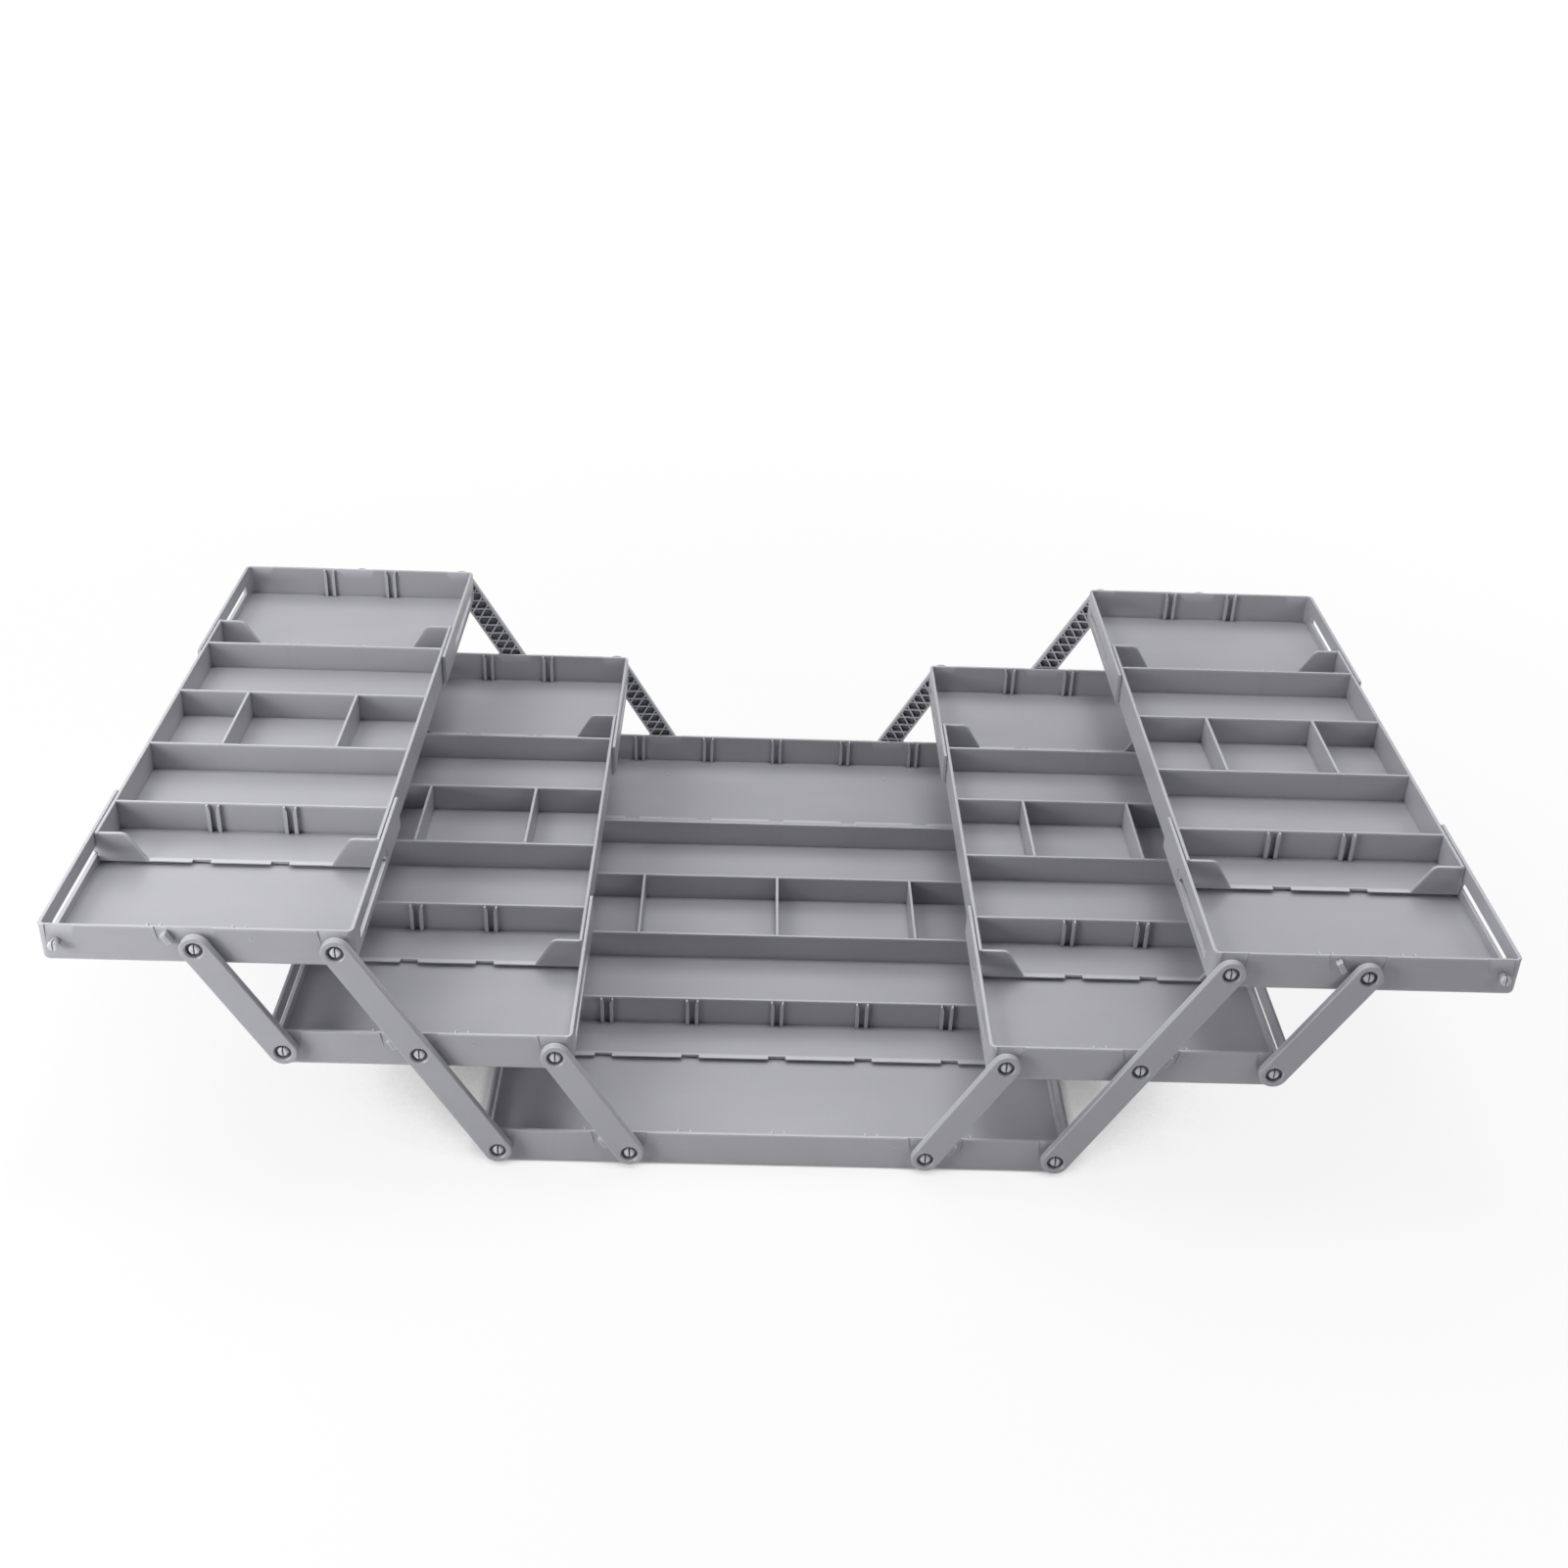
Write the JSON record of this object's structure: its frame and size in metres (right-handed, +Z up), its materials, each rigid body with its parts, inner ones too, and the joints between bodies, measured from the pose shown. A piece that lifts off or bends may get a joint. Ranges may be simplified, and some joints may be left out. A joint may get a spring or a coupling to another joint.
{
  "type": "expandable desk organizer",
  "caption": "Tiered desk organizer: telescoping divided trays on a wide base, swung out and up on lattice link arms.",
  "frame": {"origin": "under the centre of the base tray, in the plane it stands on", "axes": "+X to the right-hand trays, +Y to the back along the trays' depth, +Z up"},
  "size_m": [0.7476, 0.4524, 0.1481],
  "materials": {
    "tray_plastic": "satin",
    "arm_plastic": "satin"
  },
  "bodies": {
    "base_front_end": {"base_front_end": "tray_plastic"},
    "base_middle": {"base_middle": "tray_plastic"},
    "base_rear_end": {"base_rear_end": "tray_plastic"},
    "mid_left_front_end": {"mid_left_front_end": "tray_plastic"},
    "mid_left_middle": {"mid_left_middle": "tray_plastic"},
    "mid_left_rear_end": {"mid_left_rear_end": "tray_plastic"},
    "mid_right_front_end": {"mid_right_front_end": "tray_plastic"},
    "mid_right_middle": {"mid_right_middle": "tray_plastic"},
    "mid_right_rear_end": {"mid_right_rear_end": "tray_plastic"},
    "top_left_front_end": {"top_left_front_end": "tray_plastic"},
    "top_left_middle": {"top_left_middle": "tray_plastic"},
    "top_left_rear_end": {"top_left_rear_end": "tray_plastic"},
    "top_right_front_end": {"top_right_front_end": "tray_plastic"},
    "top_right_middle": {"top_right_middle": "tray_plastic"},
    "top_right_rear_end": {"top_right_rear_end": "tray_plastic"},
    "left_front_long_arm": {"left_front_long_arm": "arm_plastic"},
    "left_front_lower_arm": {"left_front_lower_arm": "arm_plastic"},
    "left_front_upper_arm": {"left_front_upper_arm": "arm_plastic"},
    "left_rear_long_arm": {"left_rear_long_arm": "arm_plastic"},
    "left_rear_lower_arm": {"left_rear_lower_arm": "arm_plastic"},
    "left_rear_upper_arm": {"left_rear_upper_arm": "arm_plastic"},
    "right_front_long_arm": {"right_front_long_arm": "arm_plastic"},
    "right_front_lower_arm": {"right_front_lower_arm": "arm_plastic"},
    "right_front_upper_arm": {"right_front_upper_arm": "arm_plastic"},
    "right_rear_long_arm": {"right_rear_long_arm": "arm_plastic"},
    "right_rear_lower_arm": {"right_rear_lower_arm": "arm_plastic"},
    "right_rear_upper_arm": {"right_rear_upper_arm": "arm_plastic"}
  },
  "joints": [
    {"name": "front_extend", "type": "slide", "parent": "base_middle", "child": "base_front_end", "axis": [0, 1, 0], "range_m": [0, 0.0715]},
    {"name": "rear_extend", "type": "slide", "parent": "base_middle", "child": "base_rear_end", "axis": [0, -1, 0], "range_m": [0, 0.0715]},
    {"name": "left_fold", "type": "hinge", "parent": "base_front_end", "child": "left_front_long_arm", "pos_m": [-0.14925, -0.2242, 0.0124], "axis": [0, 1, 0], "range_deg": [0, 103.1]},
    {"name": "left_front_lower_swing", "type": "hinge", "parent": "base_front_end", "child": "left_front_lower_arm", "pos_m": [-0.07925, -0.2242, 0.0124], "axis": [0, 1, 0], "range_deg": [0, 103.1]},
    {"name": "mid_left_level", "type": "hinge", "parent": "left_front_long_arm", "child": "mid_left_front_end", "pos_m": [-0.18713, -0.2242, 0.07545], "axis": [0, -1, 0], "range_deg": [0, 103.1]},
    {"name": "top_left_level", "type": "hinge", "parent": "left_front_long_arm", "child": "top_left_front_end", "pos_m": [-0.22502, -0.2242, 0.1385], "axis": [0, -1, 0], "range_deg": [0, 103.1]},
    {"name": "left_front_upper_swing", "type": "hinge", "parent": "mid_left_front_end", "child": "left_front_upper_arm", "pos_m": [-0.25714, -0.2242, 0.07545], "axis": [0, 1, 0], "range_deg": [0, 103.1]},
    {"name": "mid_left_front_extend", "type": "slide", "parent": "mid_left_front_end", "child": "mid_left_middle", "axis": [0, -1, 0], "range_m": [0, 0.0715]},
    {"name": "mid_left_rear_extend", "type": "slide", "parent": "mid_left_middle", "child": "mid_left_rear_end", "axis": [0, -1, 0], "range_m": [0, 0.0715]},
    {"name": "top_left_front_extend", "type": "slide", "parent": "top_left_front_end", "child": "top_left_middle", "axis": [0, -1, 0], "range_m": [0, 0.0715]},
    {"name": "top_left_rear_extend", "type": "slide", "parent": "top_left_middle", "child": "top_left_rear_end", "axis": [0, -1, 0], "range_m": [0, 0.0715]},
    {"name": "left_rear_long_swing", "type": "hinge", "parent": "base_rear_end", "child": "left_rear_long_arm", "pos_m": [-0.14925, 0.2242, 0.0124], "axis": [0, 1, 0], "range_deg": [0, 103.1]},
    {"name": "left_rear_lower_swing", "type": "hinge", "parent": "base_rear_end", "child": "left_rear_lower_arm", "pos_m": [-0.07925, 0.2242, 0.0124], "axis": [0, 1, 0], "range_deg": [0, 103.1]},
    {"name": "left_rear_upper_swing", "type": "hinge", "parent": "mid_left_rear_end", "child": "left_rear_upper_arm", "pos_m": [-0.25714, 0.2242, 0.07545], "axis": [0, 1, 0], "range_deg": [0, 103.1]},
    {"name": "right_fold", "type": "hinge", "parent": "base_front_end", "child": "right_front_long_arm", "pos_m": [0.14925, -0.2242, 0.0124], "axis": [0, -1, 0], "range_deg": [0, 103.1]},
    {"name": "right_front_lower_swing", "type": "hinge", "parent": "base_front_end", "child": "right_front_lower_arm", "pos_m": [0.07925, -0.2242, 0.0124], "axis": [0, -1, 0], "range_deg": [0, 103.1]},
    {"name": "mid_right_level", "type": "hinge", "parent": "right_front_long_arm", "child": "mid_right_front_end", "pos_m": [0.18713, -0.2242, 0.07545], "axis": [0, 1, 0], "range_deg": [0, 103.1]},
    {"name": "top_right_level", "type": "hinge", "parent": "right_front_long_arm", "child": "top_right_front_end", "pos_m": [0.22502, -0.2242, 0.1385], "axis": [0, 1, 0], "range_deg": [0, 103.1]},
    {"name": "right_front_upper_swing", "type": "hinge", "parent": "mid_right_front_end", "child": "right_front_upper_arm", "pos_m": [0.25714, -0.2242, 0.07545], "axis": [0, -1, 0], "range_deg": [0, 103.1]},
    {"name": "mid_right_front_extend", "type": "slide", "parent": "mid_right_front_end", "child": "mid_right_middle", "axis": [0, -1, 0], "range_m": [0, 0.0715]},
    {"name": "mid_right_rear_extend", "type": "slide", "parent": "mid_right_middle", "child": "mid_right_rear_end", "axis": [0, -1, 0], "range_m": [0, 0.0715]},
    {"name": "top_right_front_extend", "type": "slide", "parent": "top_right_front_end", "child": "top_right_middle", "axis": [0, -1, 0], "range_m": [0, 0.0715]},
    {"name": "top_right_rear_extend", "type": "slide", "parent": "top_right_middle", "child": "top_right_rear_end", "axis": [0, -1, 0], "range_m": [0, 0.0715]},
    {"name": "right_rear_long_swing", "type": "hinge", "parent": "base_rear_end", "child": "right_rear_long_arm", "pos_m": [0.14925, 0.2242, 0.0124], "axis": [0, -1, 0], "range_deg": [0, 103.1]},
    {"name": "right_rear_lower_swing", "type": "hinge", "parent": "base_rear_end", "child": "right_rear_lower_arm", "pos_m": [0.07925, 0.2242, 0.0124], "axis": [0, -1, 0], "range_deg": [0, 103.1]},
    {"name": "right_rear_upper_swing", "type": "hinge", "parent": "mid_right_rear_end", "child": "right_rear_upper_arm", "pos_m": [0.25714, 0.2242, 0.07545], "axis": [0, -1, 0], "range_deg": [0, 103.1]}
  ],
  "couplings": [
    {"joint": "left_front_lower_swing", "follows": "left_fold", "ratio": 1},
    {"joint": "mid_left_level", "follows": "left_fold", "ratio": 1},
    {"joint": "top_left_level", "follows": "left_fold", "ratio": 1},
    {"joint": "left_front_upper_swing", "follows": "left_fold", "ratio": 1},
    {"joint": "mid_left_front_extend", "follows": "front_extend", "ratio": 1},
    {"joint": "mid_left_rear_extend", "follows": "rear_extend", "ratio": 1},
    {"joint": "top_left_front_extend", "follows": "front_extend", "ratio": 1},
    {"joint": "top_left_rear_extend", "follows": "rear_extend", "ratio": 1},
    {"joint": "left_rear_long_swing", "follows": "left_fold", "ratio": 1},
    {"joint": "left_rear_lower_swing", "follows": "left_fold", "ratio": 1},
    {"joint": "left_rear_upper_swing", "follows": "left_fold", "ratio": 1},
    {"joint": "right_front_lower_swing", "follows": "right_fold", "ratio": 1},
    {"joint": "mid_right_level", "follows": "right_fold", "ratio": 1},
    {"joint": "top_right_level", "follows": "right_fold", "ratio": 1},
    {"joint": "right_front_upper_swing", "follows": "right_fold", "ratio": 1},
    {"joint": "mid_right_front_extend", "follows": "front_extend", "ratio": 1},
    {"joint": "mid_right_rear_extend", "follows": "rear_extend", "ratio": 1},
    {"joint": "top_right_front_extend", "follows": "front_extend", "ratio": 1},
    {"joint": "top_right_rear_extend", "follows": "rear_extend", "ratio": 1},
    {"joint": "right_rear_long_swing", "follows": "right_fold", "ratio": 1},
    {"joint": "right_rear_lower_swing", "follows": "right_fold", "ratio": 1},
    {"joint": "right_rear_upper_swing", "follows": "right_fold", "ratio": 1}
  ]
}
